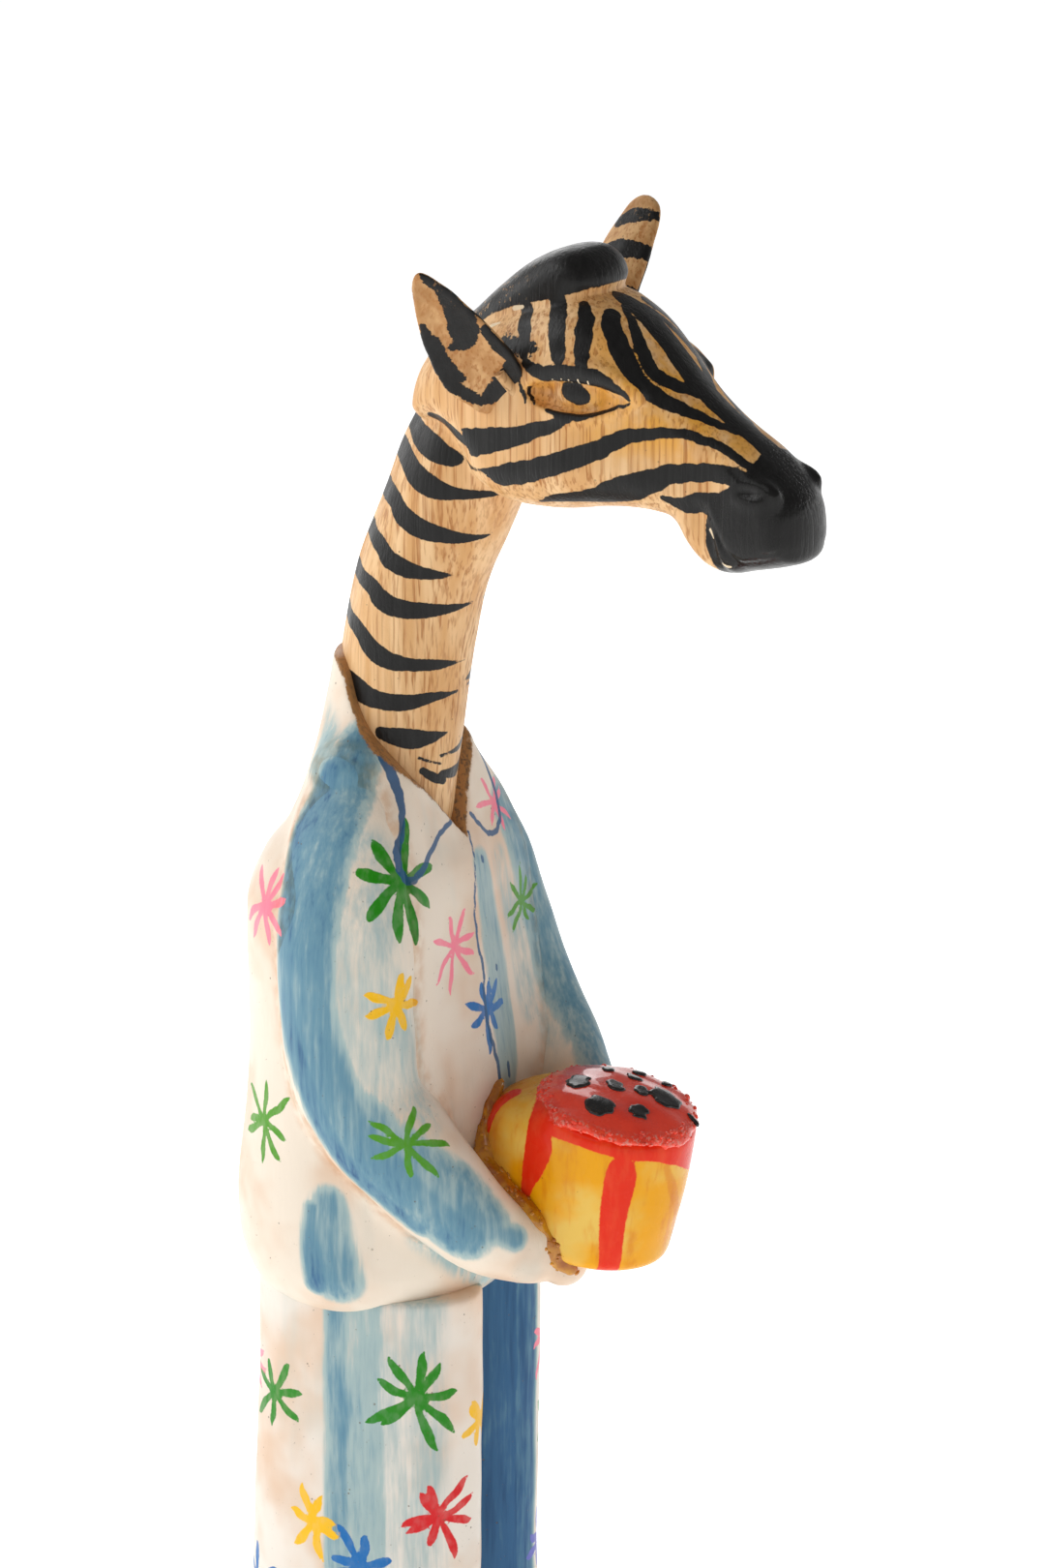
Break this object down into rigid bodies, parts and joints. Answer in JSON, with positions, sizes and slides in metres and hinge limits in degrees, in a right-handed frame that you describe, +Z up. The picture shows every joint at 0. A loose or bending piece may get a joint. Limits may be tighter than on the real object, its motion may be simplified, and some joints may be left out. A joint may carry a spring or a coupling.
{
  "type": "carved zebra figure",
  "caption": "Standing carved and painted wooden zebra in pyjamas, holding a small iced cake in both arms, for a shelf or table.",
  "frame": {"origin": "bottom centre of the figure's bounding box, on the surface that it stands on", "axes": "+Z up, -Y the way that the figure's body faces, -X its own right hand"},
  "size_m": [0.1104, 0.177, 0.5211],
  "materials": {
    "head_stain": "clear-sealed pale wood with black painted stripes",
    "ear_stain": "clear-sealed pale wood with black patches",
    "jacket_paint": "whitewash with thin watercolour washes, satin",
    "sleeve_paint": "whitewash with thin blue washes, satin",
    "trouser_paint": "whitewash with thin blue washes, satin",
    "shoe_paint": "black paint, satin",
    "cake_glaze": "yellow and orange gloss paint",
    "icing_paint": "thick red gloss paint",
    "chip_paint": "black gloss paint",
    "clear_glue": "hardened amber glue, gloss",
    "raw_dowel": "bare turned wood"
  },
  "bodies": {
    "root": {"jacket": "jacket_paint", "arm_right": "sleeve_paint", "arm_left": "sleeve_paint", "trouser_leg_right": "trouser_paint", "trouser_leg_left": "trouser_paint", "foot_right": "shoe_paint", "foot_left": "shoe_paint", "head_and_neck": "head_stain", "ear_right": "ear_stain", "ear_left": "ear_stain", "cake": "cake_glaze", "icing": "icing_paint", "chocolate_chips": "chip_paint", "glue_bead": "clear_glue", "neck_dowel": "raw_dowel", "ear_dowels": "raw_dowel", "arm_dowels": "raw_dowel", "leg_dowels": "raw_dowel", "foot_dowels": "raw_dowel", "cake_dowel": "raw_dowel"}
  },
  "joints": []
}
